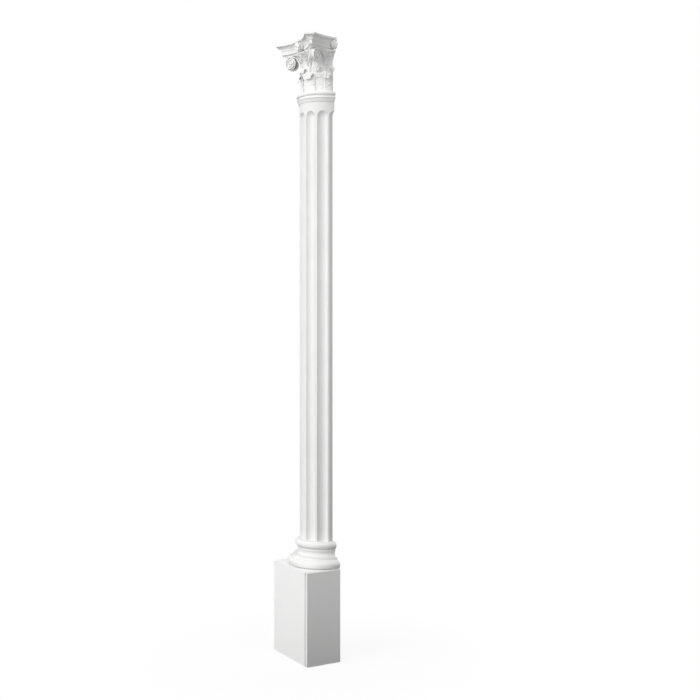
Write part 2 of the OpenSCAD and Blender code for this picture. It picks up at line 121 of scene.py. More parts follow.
# The rows of leaves: a leaf's width, its hanging tip's height above the ring, the curl of its
# edges and whether its stem is channelled. The outline gives shares of the half-width at
# shares of the length, and the notches between the lobes are shares of the length.
LOW_ROW = {
    "width": 76 * MM, "tip": 60 * MM, "curl": 2.4 * MM, "channelled": False,
    "outline": ((0.0, 0.88), (0.12, 0.9), (0.28, 0.95), (0.46, 0.95), (0.58, 0.8),
                (0.68, 0.66), (0.8, 0.6), (0.88, 0.52), (0.94, 0.42), (1.0, 0.34)),
    "notches": (0.0, 0.12, 0.25, 0.41, 0.58, 0.83, 1.06)}
HIGH_ROW = {
    "width": 62 * MM, "tip": 95 * MM, "curl": 1.0 * MM, "channelled": True,
    "outline": ((0.0, 0.6), (0.12, 0.64), (0.28, 0.84), (0.42, 0.95), (0.52, 0.84),
                (0.6, 0.66), (0.72, 0.62), (0.86, 0.52), (0.94, 0.42), (1.0, 0.34)),
    "notches": (0.0, 0.4, 0.5, 0.61, 0.73, 0.9, 1.06)}

# A leaf's lobes have three leaflets each. Spans are shares of the leaf's length.
LEAFLETS, LEAFLET_NOTCH = 3, 0.11
LOBE_POWER, LEAFLET_POWER = 0.5, 0.6
TIP_START, TIP_LENGTH = 0.93, 0.0701
CARVING_LEAD, CARVING_LAG = 0.08, 0.02
SLANT_START, SLANT_LOSS, SLANT_LOSS_SPAN = 0.12, 0.6, (0.55, 0.95)
CHANNEL_SPAN = (0.32, 0.45)
HUG_SHARE, HUG_SPAN = 0.6, (0.3, 0.5)
# The hood's arch at its root and its growth as shares of the width, and where it grows
ARCH_ROOT, ARCH_GROWTH, ARCH_START, ARCH_SPAN = 0.13, 0.22, 0.6, (0.2, 0.5)

# Relief on a leaf: heights, and half-widths of humps and grooves
RIB_WIDTH, VALLEY_WIDTH, RIPPLE = 2.4 * MM, 2.0 * MM, 0.6 * MM
GROOVE_PLACE, GROOVE_WIDTH, GROOVE_SHARE = 5.5 * MM, 2.2 * MM, 0.75
VEIN_HEIGHT, VEIN_WIDTH, VEIN_SPAN = 0.9 * MM, 1.3 * MM, (3 * MM, 13 * MM)
EYE_DEPTH, EYE_LENGTH, EYE_WIDTH = 1.6 * MM, 1.9 * MM, 3 * MM
CHANNEL_DEPTH, CHANNEL_WIDTH = 0.7 * MM, 1.6 * MM
# Shares of the half-width and of the thickness
EYE_PLACE, DEEPEST_CUT = 0.5, -0.4
# How far before and after the fold the carving changes faces, and how the edges thin and curl
FACE_SWAP, EDGE_POWER, CURL_POWER = 6 * MM, 6, 3

# The scrolls' bands: how often they wind, and how many degrees of stem come before the top.
# Shares of the radius: how far out the stem is a quarter turn before the top, the band's
# thickness and the eye's radius. The web is a share of the breadth, the channel a depth.
CORNER_BAND = {"Turns": 2.1, "Foot": 118.0, "Swing": 0.84, "Band": 0.2, "Eye": 0.24, "Web": 0.2,
               "Channel": 1.6 * MM}
HELIX_BAND = {"Turns": 2.1, "Foot": 128.0, "Swing": 0.3, "Band": 0.24, "Eye": 0.28, "Web": 0.4,
              "Channel": 0.7 * MM}
HELIX_BREADTH = 13 * MM

# A stalk's half-width and depth in millimetres at shares of its height, its flutes, how the
# calyx at its top flattens them and dips, and how deep its back is sunk in the bell
STALK_HALF = (0, 0.7, 0.8, 0.92, 1), (6.5, 4.4, 5.6, 9.6, 9.0)
STALK_DEPTH = (0, 0.7, 0.8, 0.94, 1), (5.0, 5.0, 6.0, 9.5, 2.0)
STALK_FLUTES, STALK_FLUTE_DEPTH = 4, 0.9 * MM
CALYX_SPAN, CALYX_FLATTENING, CALYX_DIP = (0.74, 0.86), 0.6, 3 * MM
STALK_SINK = 0.5 * MM

# Points of a shell, a board and a band that are nearer than this are one
SHELL_WELD, BOARD_WELD, BAND_WELD = MM / 200, MM / 100, MM / 50
SHARP_EDGE = math.radians(70)

# How far before the wall plane a raw back starts, and where it is full
RAW_START, RAW_FULL = 0.4 * MM, 0.2 * MM
# The hollow's radius in a piece that has none
NOT_HOLLOW = -MM


# Settings that a user would change

class StudioSettings(bpy.types.PropertyGroup):
    """Camera and lamps."""
    azimuth: FloatProperty(
        name="Camera bearing", description="From the column's front",
        default=math.radians(59.7), subtype="ANGLE")
    distance: FloatProperty(
        name="Camera distance", description="From the column's axis", default=5.2546, unit="LENGTH")
    height: FloatProperty(
        name="Camera height", description="Above the floor", default=1.5517, unit="LENGTH")
    lens: FloatProperty(
        name="Focal length", description="In millimetres, on a 36 mm sensor", default=57.74)
    axis_px: FloatProperty(
        name="Column's axis", description="In pixels from the picture's left", default=322.8)
    horizon_px: FloatProperty(
        name="Horizon", description="In pixels from the picture's top", default=321.2)
    key_strength: FloatProperty(
        name="Key light", description="Strength of the broad light before the front", default=2.65)
    fill_power: FloatProperty(
        name="Fill lamp", description="Power of the lamp high on the right", default=100.0,
        unit="POWER")
    ambient: FloatProperty(
        name="Ambient light", description="Strength of the even light all round", default=0.26)
    overhead: FloatProperty(
        name="Overhead light", description="Strength of the broad light straight above",
        default=1.0)


class FinishSettings(bpy.types.PropertyGroup):
    """Colours and surface detail of the finishes."""
    moulding: FloatVectorProperty(
        name="Moulding white", description="Colour of the base and the shaft", subtype="COLOR",
        default=(0.80, 0.80, 0.795))
    # Painted light: the capital's white is lighter than the moulding white, though it is the same
    # resin, to offset the shade in its carving
    capital: FloatVectorProperty(
        name="Capital white", description="Colour of the capital's pieces", subtype="COLOR",
        default=(0.86, 0.86, 0.855))
    paint: FloatVectorProperty(
        name="Board paint", description="Colour of the painted boards", subtype="COLOR",
        default=(0.90, 0.90, 0.895))
    # Painted shade: this dark colour stands for the open joint's raw edges and for the shade in its
    # recess
    joint: FloatVectorProperty(
        name="Open joint", description="Colour inside the block's open joint", subtype="COLOR",
        default=(0.30, 0.29, 0.27))
    raw_back: FloatVectorProperty(
        name="Raw back", description="Colour of the unpainted backs", subtype="COLOR",
        default=(0.77, 0.75, 0.70))
    timber: FloatVectorProperty(
        name="Timber", description="Pale colour of the bare battens", subtype="COLOR",
        default=(0.70, 0.52, 0.33))
    timber_dark: FloatVectorProperty(
        name="Timber rings", description="Dark colour of the battens' grain", subtype="COLOR",
        default=(0.47, 0.29, 0.15))
    board_ease: FloatProperty(
        name="Board edges", description="How far the boards' edges are sanded round",
        default=0.9 * MM, unit="LENGTH")


class CapitalSettings(bpy.types.PropertyGroup):
    """Carving of the capital."""
    leaf_edge: FloatProperty(
        name="Leaf thickness", description="Thickness of a leaf between its ribs",
        default=3.6 * MM, unit="LENGTH")
    rib_height: FloatProperty(
        name="Rib height", description="How far a leaf's middle rib stands out",
        default=1.4 * MM, unit="LENGTH")
    valley: FloatProperty(
        name="Valley depth", description="How deep the valleys between the lobes are cut",
        default=1.9 * MM, unit="LENGTH")
    lobe_slant: FloatProperty(
        name="Lobe slant", description="How far a lobe rises for each step sideways",
        default=0.62, min=0.0, max=1.0)
    notch: FloatProperty(
        name="Notch", description="How deep the gaps between the lobes go", default=0.34,
        subtype="FACTOR", min=0.0, max=0.8)
    scroll_r: FloatProperty(
        name="Corner scroll", description="Radius of a corner scroll", default=33 * MM,
        unit="LENGTH")
    scroll_w: FloatProperty(
        name="Scroll thickness", description="Thickness of each face of a corner scroll",
        default=17 * MM, unit="LENGTH")
    splay: FloatProperty(
        name="Scroll splay", description="How far each face turns towards its side",
        default=math.radians(25), subtype="ANGLE")
    helix_r: FloatProperty(
        name="Small scroll", description="Radius of a small scroll", default=17 * MM,
        unit="LENGTH")
    flower_r: FloatProperty(
        name="Flower", description="Radius of a flower", default=24 * MM, unit="LENGTH")
    petals: IntProperty(
        name="Petals", description="Petals round a flower", default=5, min=3, max=12)


# Node trees

class Signal:
    """A number on a node's socket, so that shader maths reads as ordinary sums."""

    def __init__(self, tree, socket):
        self.tree = tree
        self.socket = socket

    def __add__(self, other):
        return self.tree.maths("ADD", self, other)

    def __sub__(self, other):
        return self.tree.maths("SUBTRACT", self, other)

    def __rsub__(self, other):
        return self.tree.maths("SUBTRACT", other, self)

    def __mul__(self, other):
        return self.tree.maths("MULTIPLY", self, other)

    def __truediv__(self, other):
        return self.tree.maths("DIVIDE", self, other)

    def __pow__(self, other):
        return self.tree.maths("POWER", self, other)

    __radd__ = __add__
    __rmul__ = __mul__


class Tree:
    """Adds nodes to a shader, world or geometry tree."""

    def __init__(self, nodes):
        self.nodes = nodes

    def node(self, kind, settings=None, sockets=None, output=0):
        """A new node: its settings first, then the values or links of its sockets."""
        made = self.nodes.nodes.new(kind)
        for name, value in (settings or {}).items():
            setattr(made, name, value)
        for name, value in (sockets or {}).items():
            if isinstance(value, Signal):
                self.nodes.links.new(value.socket, made.inputs[name])
            else:
                made.inputs[name].default_value = value
        return Signal(self, made.outputs[output]) if made.outputs else made

    def outputs(self, signal):
        """All the outputs of the node that a signal comes from."""
        return [Signal(self, out) for out in signal.socket.node.outputs]

    def maths(self, operation, *values):
        return self.node("ShaderNodeMath", {"operation": operation}, dict(enumerate(values)))

    def smooth(self, value, low, high):
        """0 below low, 1 above high and a smooth step between."""
        return self.node("ShaderNodeMapRange", {"interpolation_type": "SMOOTHSTEP"},
                         {"Value": value, "From Min": low, "From Max": high})

    def split(self, vector):
        """The x, y and z of a vector."""
        return self.outputs(self.node("ShaderNodeSeparateXYZ", None, {0: vector}))

    def vector(self, x=0.0, y=0.0, z=0.0):
        return self.node("ShaderNodeCombineXYZ", None, {0: x, 1: y, 2: z})

    def seen(self):
        """1 to the camera, in gloss and through glass, and 0 to light that bounces."""
        camera, gloss, glass = (self.node("ShaderNodeLightPath", output=f"Is {kind} Ray")
                                for kind in ("Camera", "Glossy", "Transmission"))
        return self.maths("MINIMUM", camera + gloss + glass, 1.0)


def linked(name, data):
    """A new object of some data, in the scene."""
    piece = bpy.data.objects.new(name, data)
    bpy.context.scene.collection.objects.link(piece)
    return piece


class Pattern(Tree):
    """A geometry tree with named inputs, made into plain meshes one by one."""

    def __init__(self, name, sizes):
        super().__init__(bpy.data.node_groups.new(name, "GeometryNodeTree"))
        face = self.nodes.interface
        face.new_socket("Geometry", in_out="OUTPUT", socket_type="NodeSocketGeometry")
        for size in sizes:
            face.new_socket(size, in_out="INPUT", socket_type="NodeSocketFloat")
        face.new_socket("Material", in_out="INPUT", socket_type="NodeSocketMaterial")
        entries = self.outputs(self.node("NodeGroupInput"))
        self.size = {entry.socket.name: entry for entry in entries if entry.socket.name}

    def ball(self, segments, rings):
        return self.node("GeometryNodeMeshUVSphere", None,
                         {"Segments": segments, "Rings": rings, "Radius": 1.0})

    def placed(self, shape, scale, rise=0.0):
        """A shape scaled by its three factors and moved up."""
        return self.node("GeometryNodeTransform", None, {
            "Geometry": shape, "Translation": self.vector(z=rise), "Scale": self.vector(*scale)})

    def bent(self, shape, place):
        """A shape whose points go to new places."""
        return self.node("GeometryNodeSetPosition", None, {"Geometry": shape, "Position": place})

    def end(self, *shapes):
        """Joins the shapes, makes their instances real and gives them the material."""
        joined = self.node("GeometryNodeJoinGeometry")
        for shape in shapes:
            self.nodes.links.new(shape.socket, joined.socket.node.inputs[0])
        real = self.node("GeometryNodeRealizeInstances", None, {0: joined})
        painted = self.node("GeometryNodeSetMaterial", None,
                            {"Geometry": real, "Material": self.size["Material"]})
        self.node("NodeGroupOutput", None, {0: painted})

    def made(self, name, **sizes):
        """A plain mesh of the tree with the given sizes."""
        holder = linked(name, bpy.data.meshes.new(name))
        modifier = holder.modifiers.new("pattern", "NODES")
        modifier.node_group = self.nodes
        for item in self.nodes.interface.items_tree:
            if item.in_out == "INPUT":
                modifier[item.identifier] = sizes[item.name]
        ready = holder.evaluated_get(bpy.context.evaluated_depsgraph_get())
        mesh = bpy.data.meshes.new_from_object(ready)
        holder.modifiers.clear()
        bpy.data.objects.remove(holder)
        return mesh


class Finish(Tree):
    """A material with one Principled shader, whose details are added by name."""
    specular = 0.3

    def __init__(self, name):
        self.material = bpy.data.materials.new(name)
        self.material.use_nodes = True
        super().__init__(self.material.node_tree)
        self.nodes.nodes.clear()
        self.place = self.node("ShaderNodeTexCoord", output="Object")

    def stretched(self, x, y, z):
        """The surface's place with each axis scaled, for a pattern that runs one way."""
        return self.node("ShaderNodeMapping", None, {"Vector": self.place, "Scale": (x, y, z)})

    def noise(self, per_metre, detail, rough=0.5, place=None):
        return self.node("ShaderNodeTexNoise", None,
                         {"Vector": place or self.place, "Scale": per_metre, "Detail": detail,
                          "Roughness": rough})

    def blend(self, factor, first, second):
        """From the first colour to the second, by the sockets that a Mix keeps for colours."""
        return self.node("ShaderNodeMix", {"data_type": "RGBA"},
                         {0: factor, 6: first, 7: second}, 2)

    def shade(self, colour, roughness, height, depth):
        """Ends the material: height is a signal from 0 to 1, worth depth in metres."""
        normal = self.node("ShaderNodeBump", None, {"Height": height, "Distance": depth})
        shader = self.node("ShaderNodeBsdfPrincipled", None,
                           {"Base Color": colour, "Roughness": roughness, "Normal": normal,
                            "Specular IOR Level": self.specular})
        self.node("ShaderNodeOutputMaterial", None, {"Surface": shader})
        return self.material


def four(colour, share=1.0):
    """A colour at a share of its brightness, with its alpha."""
    return (*(part * share for part in colour), 1.0)


def from_axis(finish):
    """Distance of a surface point from the column's axis."""
    x, y, _ = finish.split(finish.place)
    return ((x * x) + (y - WALL_Y) * (y - WALL_Y)) ** 0.5


def moulding_finish(name, colour="capital", hollow_r=NOT_HOLLOW):
    """White moulded resin with a fine satin skin; its back and its hollow stay raw. By default it
    takes the capital white, which is lightened as painted light.
    """
    settings = bpy.context.scene.column_finish
    white = getattr(settings, colour)
    finish = Finish(name)
    _, y, _ = finish.split(finish.place)
    inside = 1 - finish.smooth(from_axis(finish), hollow_r, hollow_r + MM)
    back = finish.smooth(y, WALL_Y - RAW_START, WALL_Y - RAW_FULL)
    raw = finish.maths("MAXIMUM", inside, back)
    cloud = finish.noise(per_metre=9.0, detail=4.0)
    peel = finish.noise(per_metre=420.0, detail=2.0)
    cells = finish.noise(per_metre=1500.0, detail=3.0, rough=0.7)
    clouded, in_cells = 0.975, 0.86
    skin = finish.blend(finish.smooth(cloud, low=0.35, high=0.7), four(white),
                        four(white, clouded))
    cast = finish.blend(cells, four(settings.raw_back), four(settings.raw_back, in_cells))
    satin, cloud_matt, raw_matt, peel_height = 0.56, 0.14, 0.2, 0.35
    roughness = satin + cloud * cloud_matt + raw * raw_matt
    height = peel * (1 - raw) * peel_height + cells * raw
    return finish.shade(finish.blend(raw, skin, cast), roughness, height, depth=0.25 * MM)


def joint_shade_mask(finish):
    """1 in the open joint of the block's front and top, where its raw edges and painted shade go, 0
    on the faces around it.
    """
    x, y, z = finish.split(finish.place)
    front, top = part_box("block_front_board")[0].y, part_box("block_top_board")[1].z
    left = JOINT_X - JOINT_WIDTH
    deep, low = front + JOINT_DEPTH, top - JOINT_DEPTH
    across = (finish.smooth(x, left - JOINT_BLUR, left + JOINT_BLUR / 4)
              * (1 - finish.smooth(x, JOINT_X, JOINT_X + JOINT_BLUR)))
    upright = (finish.smooth(y, front + JOINT_BLUR, front + JOINT_LIP)
               * (1 - finish.smooth(y, deep, deep + MM)))
    level = (finish.smooth(z, low - MM, low)
             * (1 - finish.smooth(z, top - JOINT_LIP, top - JOINT_BLUR)))
    return across * finish.maths("MAXIMUM", upright, level)


def paint_finish(name, along):
    """Brushed white paint over a board whose grain runs along the given axis, with painted shade in
    the block's open joint.
    """
    settings = bpy.context.scene.column_finish
    finish = Finish(name)
    across_grain, along_grain, brushed = 260.0, 7.0, 0.97
    scale = [across_grain] * 3
    scale[along] = along_grain
    grain = finish.noise(per_metre=1.0, detail=5.0, rough=0.6, place=finish.stretched(*scale))
    cloud = finish.noise(per_metre=6.0, detail=3.0)
    stipple = finish.noise(per_metre=900.0, detail=2.0)
    tone = finish.smooth(cloud * 0.6 + grain * 0.4, low=0.3, high=0.75)
    white = finish.blend(tone, four(settings.paint), four(settings.paint, brushed))
    # Painted shade: the open joint takes a dark colour for its raw edges and for the shade in its
    # recess
    colour = finish.blend(joint_shade_mask(finish), white, four(settings.joint))
    satin, grain_matt = 0.5, 0.2
    return finish.shade(colour, satin + grain * grain_matt, grain * 0.7 + stipple * 0.3,
                        depth=0.3 * MM)


def timber_finish(name):
    """Bare sawn softwood with its grain up the batten."""
    settings = bpy.context.scene.column_finish
    finish = Finish(name)
    warp = finish.noise(per_metre=14.0, detail=2.0, place=finish.stretched(1.0, 1.0, 0.12))
    rings = finish.node("ShaderNodeTexWave", {"wave_type": "RINGS", "rings_direction": "Z"},
                        {"Vector": finish.stretched(1.0, 1.0, 0.05), "Scale": 60.0,
                         "Distortion": 6.0, "Detail": 3.0}, "Fac")
    fibre = finish.noise(per_metre=1.0, detail=4.0, rough=0.7,
                         place=finish.stretched(900.0, 900.0, 30.0))
    grain = rings * 0.65 + warp * 0.2 + fibre * 0.3
    colour = finish.blend(finish.smooth(grain, low=0.3, high=0.95), four(settings.timber),
                          four(settings.timber_dark))
    sawn, fibre_matt = 0.62, 0.25
    return finish.shade(colour, sawn + fibre * fibre_matt, fibre * 0.7 + rings * 0.3,
                        depth=0.5 * MM)


# Mesh helpers

def radii(node):
    """Least and greatest distance of a node's points from the column's axis."""
    points = np.array([v.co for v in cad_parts[node].data.vertices])
    reach = np.hypot(points[:, 0], points[:, 1] - WALL_Y)
    return reach.min(), reach.max()


def to_column(radius, angle, height):
    """Points on the column from arrays of radius, bearing in radians, and height."""
    return np.stack(np.broadcast_arrays(radius * np.sin(angle), WALL_Y - radius * np.cos(angle),
                                        height), axis=-1)


def bell_face(rise):
    """Radius of the bell's face at a height above the ring."""
    flare = np.clip(rise - BELL_STRAIGHT, 0, FLARE_END)
    return BELL_R + FLARE_R - np.sqrt(FLARE_R ** 2 - flare ** 2)


def eased(values, low, high):
    """0 below low, 1 above high and a smooth step between."""
    share = np.clip((values - low) / (high - low), 0, 1)
    return share * share * (3 - 2 * share)


def hump(distance, width):
    """1 at no distance, dying away over a width on either side."""
    return np.exp(-(distance / width) ** 2)


def scallop(waves, power):
    """0 on a lobe and 1 in the notch beside it, where the waves reach a multiple of pi."""
    return 1 - np.abs(np.sin(waves)) ** power


def steps_across(columns):
    """A row of places from -1 to 1, closer together at the ends."""
    return np.sin(QUARTER * np.linspace(-1, 1, columns))[None, :]


def form_of(*meshes, weld=0.0):
    """One form of several meshes, with points in the same place merged and faces outwards."""
    form = bmesh.new()
    for mesh in meshes:
        form.from_mesh(mesh)
    if weld:
        bmesh.ops.remove_doubles(form, verts=form.verts, dist=weld)
    bmesh.ops.recalc_face_normals(form, faces=form.faces)
    return form


def shell(name, front, back):
    """Closed form from two grids of points (rows, columns, 3) that share their side edges."""
    rings = np.concatenate([front, back[:, -2:0:-1]], axis=1)
    rows, around = rings.shape[:2]
    number = np.arange(rows * around).reshape(rows, around)
    after = np.roll(number, -1, axis=1)
    quads = np.stack([number[:-1], after[:-1], after[1:], number[1:]], axis=-1).reshape(-1, 4)
    mesh = bpy.data.meshes.new(name)
    mesh.from_pydata(rings.reshape(-1, 3), [], [*quads.tolist(), number[0, ::-1].tolist(),
                                                number[-1].tolist()])
    form = form_of(mesh, weld=SHELL_WELD)
    bpy.data.meshes.remove(mesh)
    return form


def mesh_from(form, name):
    """A mesh of a form, which is freed."""
    mesh = bpy.data.meshes.new(name)
    form.to_mesh(mesh)
    form.free()
    return mesh


def moved(mesh, place, *details):
    """Puts a mesh's points, as an array, through a function that takes the details too."""
    points = np.empty(len(mesh.vertices) * 3)
    mesh.vertices.foreach_get("co", points)
    mesh.vertices.foreach_set("co", place(points.reshape(-1, 3), *details).ravel())
    return mesh


def islands(form):
    """Lists of the points that hang together, in the order of their first points."""
    found, seen = [], set()
    for first in form.verts:
        if first in seen:
            continue
        seen.add(first)
        island = [first]
        for vert in island:
            for edge in vert.link_edges:
                other = edge.other_vert(vert)
                if other not in seen:
                    seen.add(other)
                    island.append(other)
        found.append(island)
    return found


def cut_at_wall(form, step=0.1 * MM):
    """Takes away what lies behind the wall plane and closes the cut.

    Each island ends a step before the last one, so that no two cut faces share a plane."""
    geometry = form.verts[:] + form.edges[:] + form.faces[:]
    cut = bmesh.ops.bisect_plane(form, geom=geometry, plane_co=(0, WALL_Y, 0),
                                 plane_no=(0, 1, 0), clear_outer=True)
    edges = [e for e in cut["geom_cut"] if isinstance(e, bmesh.types.BMEdge)]
    bmesh.ops.contextual_create(form, geom=edges)
    for number, island in enumerate(islands(form)):
        for vert in island:
            if vert.co.y > WALL_Y - MM / 100:
                vert.co.y -= number * step


def add_piece(name, form, material, body, node, smooth=True):
    """Links a finished form as a piece that stands for a node of the frame."""
    mesh = mesh_from(form, name)
    mesh.materials.clear()
    mesh.materials.append(material)
    if smooth:
        mesh.shade_smooth()
        mesh.set_sharp_from_angle(angle=SHARP_EDGE)
    piece = linked(name, mesh)
    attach(piece, body)
    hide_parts(node)


def add_carving(node, work, form, white):
    """Links a form that stands for one of the capital's nodes, named after how it is made."""
    add_piece(f"{node}_{work}", form, white, "capital", node)


def paint_nodes(nodes, material):
    """Gives nodes of the frame, which keep their shapes, a finish."""
    for node in nodes:
        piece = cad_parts[node]
        piece.data.materials.clear()
        piece.data.materials.append(material)


# Pieces

class COLUMN_OT_studio(bpy.types.Operator):
    """Sets up the floor, the lamps, the surroundings and the camera"""
    bl_idname = "column.studio"
    bl_label = "Studio"

    def execute(self, context):
        settings = context.scene.column_studio
        context.scene.view_settings.view_transform = "Standard"
        self.floor()
        self.surroundings(context.scene, settings)
        key = self.lamp("key_light", "SUN", KEY_PLACE, KEY_TARGET, settings.key_strength)
        key.angle = KEY_ANGLE
        fill = self.lamp("fill_lamp", "SPOT", FILL_PLACE, FILL_TARGET, settings.fill_power)
        fill.spot_size = FILL_CONE
        fill.spot_blend = 1.0
        fill.shadow_soft_size = FILL_RADIUS
        self.camera(context.scene, settings)
        return {"FINISHED"}

    @staticmethod
    def floor():
        """A pale disc: white to the camera, with the object's soft shadow."""
        form = bmesh.new()
        bmesh.ops.create_circle(form, cap_ends=True, segments=FLOOR_SIDES, radius=FLOOR_RADIUS)
        mesh = mesh_from(form, "floor")
        finish = Finish("floor_white")
        seen = finish.seen()
        x, y, _ = finish.split(finish.place)
        far = finish.smooth((x * x + y * y) ** 0.5, *FLOOR_SPAN)
        bounce = finish.blend(far, four(BOUNCE_NEAR), four(BOUNCE_FAR))
        tone = finish.blend(seen, bounce, four(SHADOW_PAPER))
        paper = finish.node("ShaderNodeBsdfDiffuse", None, {"Color": tone})
        glow = finish.node("ShaderNodeEmission", None, {"Color": WHITE})
        share = seen * (GLOW_SHARE + far * (1 - GLOW_SHARE))
        mixed = finish.node("ShaderNodeMixShader", None, {0: share, 1: paper, 2: glow})
        finish.node("ShaderNodeOutputMaterial", None, {"Surface": mixed})
        mesh.materials.append(finish.material)
        linked("floor", mesh)

    @staticmethod
    def surroundings(scene, settings):
        """White to the camera and to gloss, and a soft light from above to everything else."""
        world = bpy.data.worlds.new("surroundings")
        scene.world = world
        world.use_nodes = True
        tree = Tree(world.node_tree)
        tree.nodes.nodes.clear()
        seen = tree.seen()
        _, _, up = tree.split(tree.node("ShaderNodeTexCoord", output="Generated"))
        light = settings.ambient + tree.smooth(up, *OVERHEAD_RISE) * settings.overhead
        back = tree.node("ShaderNodeBackground", None,
                         {"Color": WHITE, "Strength": light * (1 - seen) + seen})
        tree.node("ShaderNodeOutputWorld", None, {"Surface": back})

    @staticmethod
    def lamp(name, kind, place, target, power):
        """A lamp that stands at a place and points at a target."""
        lamp = bpy.data.lights.new(name, kind)
        lamp.energy = power
        piece = linked(name, lamp)
        piece.location = place
        piece.rotation_euler = (Vector(target) - Vector(place)).to_track_quat("-Z", "Y").to_euler()
        return lamp

    @staticmethod
    def camera(scene, settings):
        """A level camera that puts the column's axis and the horizon where the picture has them."""
        camera = bpy.data.cameras.new("camera")
        camera.lens = settings.lens
        camera.sensor_width = SENSOR
        camera.shift_y = (settings.horizon_px - PHOTO_SIDE / 2) / PHOTO_SIDE
        piece = linked("camera", camera)
        scene.camera = piece
        towards = Vector((math.sin(settings.azimuth), -math.cos(settings.azimuth), 0))
        right = Vector((math.cos(settings.azimuth), math.sin(settings.azimuth), 0))
        metres_per_px = settings.distance * SENSOR / (settings.lens * PHOTO_SIDE)
        aside = (PHOTO_SIDE / 2 - settings.axis_px) * metres_per_px
        piece.location = (Vector((0, WALL_Y, settings.height)) + towards * settings.distance
                          + right * aside)
        piece.rotation_euler = (QUARTER, 0, settings.azimuth)


class COLUMN_OT_block(bpy.types.Operator):
    """Paints the block's boards, sands their edges and finishes the battens"""
    bl_idname = "column.block"
    bl_label = "Pedestal block"

    def execute(self, context):
        ease = context.scene.column_finish.board_ease
        x_axis, z_axis = 0, 2
        for boards, name, along in ((UPRIGHT_BOARDS, "board_paint_upright", z_axis),
                                    (LEVEL_BOARDS, "board_paint_level", x_axis)):
            paint = paint_finish(name, along)
            for node in boards:
                add_piece(f"{node}_eased", self.eased_board(node, ease), paint, "pedestal",
                          node, smooth=False)
        paint_nodes(BATTENS, timber_finish("bare_softwood"))
        return {"FINISHED"}

    @staticmethod
    def eased_board(node, ease):
        """The node's own board with its edges sanded round."""
        form = form_of(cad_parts[node].data, weld=BOARD_WELD)
        bmesh.ops.dissolve_limit(form, angle_limit=math.radians(1), verts=form.verts,
                                 edges=form.edges)
        bmesh.ops.bevel(form, geom=form.edges[:], offset=ease, segments=3, profile=0.5,
                        affect="EDGES")
        return form


class COLUMN_OT_mouldings(bpy.types.Operator):
    """Finishes the base, the shaft and the core of the capital"""
    bl_idname = "column.mouldings"
    bl_label = "Base, shaft and capital core"

    def execute(self, context):
        for nodes, name, colour, hollow_r in (
                (["base_moulding"], "base_white", "moulding", NOT_HOLLOW),
                (["fluted_shaft"], "shaft_white", "moulding", radii("fluted_shaft")[0]),
                # Painted light: the capital's pieces take the lighter capital white against the
                # shade in their carving
                (["capital_bell", "astragal_ring"], "capital_white", "capital",
                 radii("capital_bell")[0]),
                (["abacus"], "abacus_white", "capital", NOT_HOLLOW)):
            paint_nodes(nodes, moulding_finish(name, colour, hollow_r))
        return {"FINISHED"}


